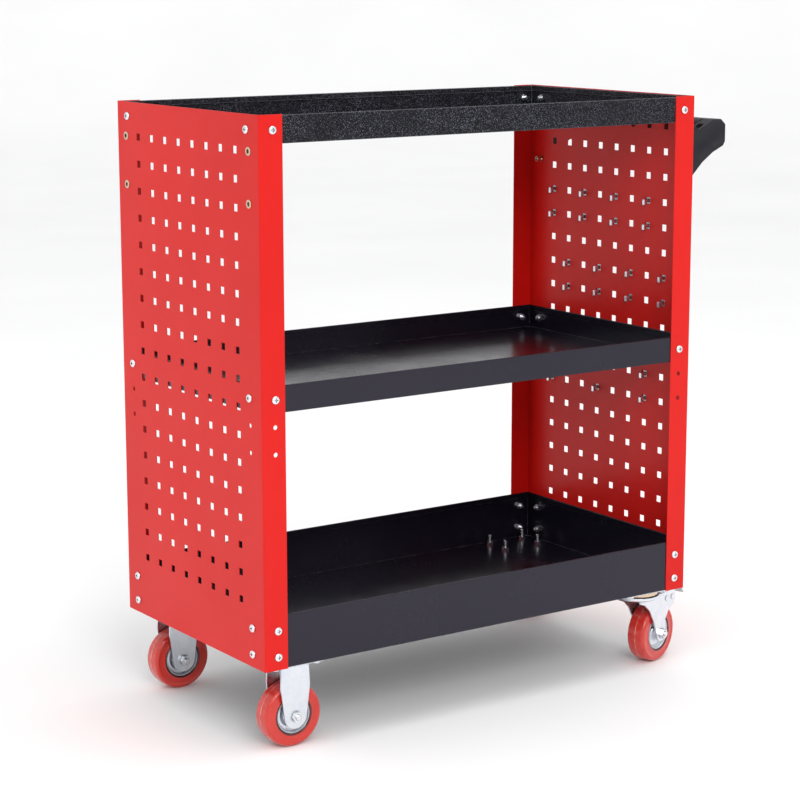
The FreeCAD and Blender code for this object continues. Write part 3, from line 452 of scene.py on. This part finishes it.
# From the bore, over the boss, down into the dished web and up to the rim.
HUB_SIDES = 96
HUB_SECTION = whole_section(
    [
        (6.05, 15.9),
        (6.6, 16.5),
        (10.0, 16.5),
        (10.7, 16.0),
        (11.1, 14.8),
        (11.5, 10.5),
        (12.4, 8.6),
        (14.0, 7.7),
        (15.6, 7.6),
        (17.0, 8.5),
        (18.6, 8.9),
        (20.2, 8.5),
        (21.4, 7.8),
        (22.6, 7.9),
        (23.7, 8.9),
        (24.1, 10.6),
        (24.3, 13.2),
        (24.8, 13.9),
        (25.6, 14.1),
        (26.2, 13.6),
        (26.45, 12.8),
    ]
)


def place_wheel_piece(piece, joint):
    """Puts a turned piece on its wheel's own axle."""
    axis = Vector(joint["axis"]).normalized()
    middle = Vector(joint["pos_m"])
    side = axis.cross(Vector((0.0, 0.0, 1.0))).normalized()
    turn = Matrix((side, axis, side.cross(axis))).transposed()
    piece.matrix_world = Matrix.Translation(middle) @ turn.to_4x4()


def make_wheel(corner):
    """A wheel's cast tyre and pressed hub, which turn together."""
    wheel = f"{corner}_wheel"
    joint = next(joint for joint in frame["joints"] if joint["name"] == f"{wheel}_spin")
    tyre = finish_mesh(turned(TYRE_SECTION, TYRE_SIDES), f"{corner}_cast_tyre", MATERIALS["red_tyre"])
    hub = finish_mesh(turned(HUB_SECTION, HUB_SIDES), f"{corner}_pressed_hub", MATERIALS["zinc_sheet"])
    for piece, node, slot in ((tyre, "tyre", "red_tyre"), (hub, "hub", "zinc_sheet")):
        place_wheel_piece(piece, joint)
        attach(piece, wheel)
        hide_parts(f"{corner}_{node}")


def plain_copy(node_name):
    """The CAD node's shape as clean polygons: shared corners joined, flat triangles merged."""
    build = bmesh.new()
    build.from_mesh(frame["nodes"][node_name].data)
    bmesh.ops.remove_doubles(build, verts=build.verts, dist=WELD_DISTANCE)
    bmesh.ops.dissolve_limit(
        build, angle_limit=FLAT_WITHIN, verts=build.verts, edges=build.edges, delimit={"NORMAL"}
    )
    return build


def body_of(node_name):
    """The name of the body that a CAD node belongs to."""
    bodies = frame["record"]["behaviour"]["bodies"]
    return next(body for body, members in bodies.items() if node_name in members)


def stand_in(build, node_name, name, slot):
    """Shows a reworked shape in place of its CAD node."""
    piece = finish_mesh(build, name, MATERIALS[slot])
    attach(piece, body_of(node_name))
    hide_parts(node_name)
    return piece


def rounded_piece(node_name, name, radius):
    """A pressing that stands for its CAD node and has real rounded edges."""
    piece = stand_in(plain_copy(node_name), node_name, name, "zinc_sheet")
    bevel = piece.modifiers.new("rounded_edges", "BEVEL")
    bevel.width = radius
    bevel.segments = 2
    bevel.limit_method = "ANGLE"
    bevel.angle_limit = ROUND_OVER
    bevel.use_clamp_overlap = True
    bevel.harden_normals = True


# A handle ear's raised rim, the width of the step inside it, how deep the cheek lies, and how
# squarely a face has to look forwards or backwards to be a cheek.
EAR_RIM = 0.0021
EAR_STEP = 0.0009
EAR_RECESS = 0.0018
EAR_SIDEWAYS = 0.99


def make_handle_ear(depth_name):
    """A moulded ear: a raised rim all round, and a recessed cheek on both faces."""
    node_name = f"{depth_name}_handle_bracket"
    build = plain_copy(node_name)
    for way in (-1.0, 1.0):
        build.faces.ensure_lookup_table()
        facing = [face for face in build.faces if face.normal.y * way > EAR_SIDEWAYS]
        cheek = max(facing, key=lambda face: face.calc_area())
        for width, depth in ((EAR_RIM, 0.0), (EAR_STEP, -EAR_RECESS)):
            bmesh.ops.inset_region(build, faces=[cheek], thickness=width, depth=depth, use_even_offset=True)
    stand_in(build, node_name, f"{depth_name}_handle_ear", "black_plastic")


for corner in ("front_left", "rear_left", "front_right", "rear_right"):
    make_wheel(corner)
for depth_name in ("front", "rear"):
    make_handle_ear(depth_name)
for corner in ("front_left", "rear_left"):
    rounded_piece(f"{corner}_bracket", f"{corner}_pressed_bracket", BRACKET_ROUND)
for corner in ("front_right", "rear_right"):
    for part in ("fork", "plate", "brake_pedal"):
        rounded_piece(f"{corner}_{part}", f"{corner}_pressed_{part}", SWIVEL_ROUND)

# ------------------------------------------------------------------ studio

FLOOR_RINGS = (1.0, 2.0, 4.0, 6.5)
FLOOR_SIDES = 96
FLOOR_FLAT = 9.0
SWEEP_RADIUS = 5.0
SWEEP_TURN = math.radians(80.0)
SWEEP_STEPS = 12

LIT_SIDE = Vector((-0.55, -0.75, 0.35)).normalized()
WHITE = (1.0, 1.0, 1.0, 1.0)


def sweep_profile():
    """The floor's rings as (radius, height): flat out to FLOOR_FLAT, then swept up."""
    profile = [(radius, 0.0) for radius in FLOOR_RINGS]
    for step in range(SWEEP_STEPS + 1):
        turn = SWEEP_TURN * step / SWEEP_STEPS
        profile.append((FLOOR_FLAT + SWEEP_RADIUS * math.sin(turn), SWEEP_RADIUS * (1.0 - math.cos(turn))))
    return profile


def studio_floor():
    """A round sheet that lies flat under the trolley and sweeps up far away on every side."""
    build = bmesh.new()
    loops = []
    for radius, height in sweep_profile():
        loop = []
        for side in range(FLOOR_SIDES):
            angle = 2.0 * math.pi * side / FLOOR_SIDES
            loop.append(build.verts.new((radius * math.cos(angle), radius * math.sin(angle), height)))
        loops.append(loop)
    middle = build.verts.new((0.0, 0.0, 0.0))
    for side in range(FLOOR_SIDES):
        build.faces.new((middle, loops[0][side], loops[0][(side + 1) % FLOOR_SIDES]))
    for inner, outer in zip(loops, loops[1:]):
        for side in range(FLOOR_SIDES):
            after = (side + 1) % FLOOR_SIDES
            build.faces.new((inner[side], outer[side], outer[after], inner[after]))
    for face in build.faces:
        face.smooth = True
    mesh = bpy.data.meshes.new("studio_floor")
    build.to_mesh(mesh)
    build.free()
    mesh.materials.append(floor_paper())
    floor = bpy.data.objects.new("studio_floor", mesh)
    bpy.context.scene.collection.objects.link(floor)


def soft_light(name, place, target, size, watts):
    data = bpy.data.lights.new(name, "AREA")
    data.shape = "RECTANGLE"
    data.size, data.size_y = size
    data.energy = watts
    lamp = bpy.data.objects.new(name, data)
    bpy.context.scene.collection.objects.link(lamp)
    lamp.location = place
    lamp.rotation_mode = "QUATERNION"
    lamp.rotation_quaternion = (Vector(target) - Vector(place)).to_track_quat("-Z", "Y")


def studio_world(front, back):
    """Even white light all round, brighter on the side where the lamps stand."""
    world = bpy.data.worlds.new("studio_world")
    world.use_nodes = True
    tree = world.node_tree
    background = tree.nodes["Background"]
    place = tree.nodes.new("ShaderNodeTexCoord")
    side = tree.nodes.new("ShaderNodeVectorMath")
    side.operation = "DOT_PRODUCT"
    side.inputs[1].default_value = LIT_SIDE
    tree.links.new(place.outputs["Generated"], side.inputs[0])
    strength = tree.nodes.new("ShaderNodeMapRange")
    strength.inputs["From Min"].default_value = -1.0
    strength.inputs["From Max"].default_value = 1.0
    strength.inputs["To Min"].default_value = back
    strength.inputs["To Max"].default_value = front
    tree.links.new(side.outputs["Value"], strength.inputs["Value"])
    background.inputs["Color"].default_value = WHITE
    tree.links.new(strength.outputs["Result"], background.inputs["Strength"])
    bpy.context.scene.world = world


CAMERA_PLACE = Vector((-1.9078, -2.6911, 1.0563))
CAMERA_LOOK = Vector((0.55683, 0.80873, -0.18947))
CAMERA_ROLL_DEG = -0.07
CAMERA_LENS_MM = 101.6
CAMERA_SENSOR_MM = 36.0
CAMERA_CLIP = (0.05, 200.0)


def studio_camera():
    data = bpy.data.cameras.new("camera")
    data.lens = CAMERA_LENS_MM
    data.sensor_width = CAMERA_SENSOR_MM
    data.clip_start, data.clip_end = CAMERA_CLIP
    camera = bpy.data.objects.new("camera", data)
    bpy.context.scene.collection.objects.link(camera)
    camera.location = CAMERA_PLACE
    camera.rotation_mode = "QUATERNION"
    look = CAMERA_LOOK.to_track_quat("-Z", "Y")
    roll = Matrix.Rotation(math.radians(CAMERA_ROLL_DEG), 4, "Z").to_quaternion()
    camera.rotation_quaternion = look @ roll
    bpy.context.scene.camera = camera


studio_floor()
studio_world(front=1.25, back=0.55)
soft_light("key", place=(-1.6, -3.6, 2.6), target=(0.0, 0.0, 0.5), size=(1.6, 1.6), watts=60.0)
soft_light("top", place=(0.3, -0.6, 4.0), target=(0.0, 0.0, 0.4), size=(3.0, 2.0), watts=40.0)
studio_camera()
bpy.context.scene.view_settings.view_transform = "Standard"

bpy.context.view_layer.update()
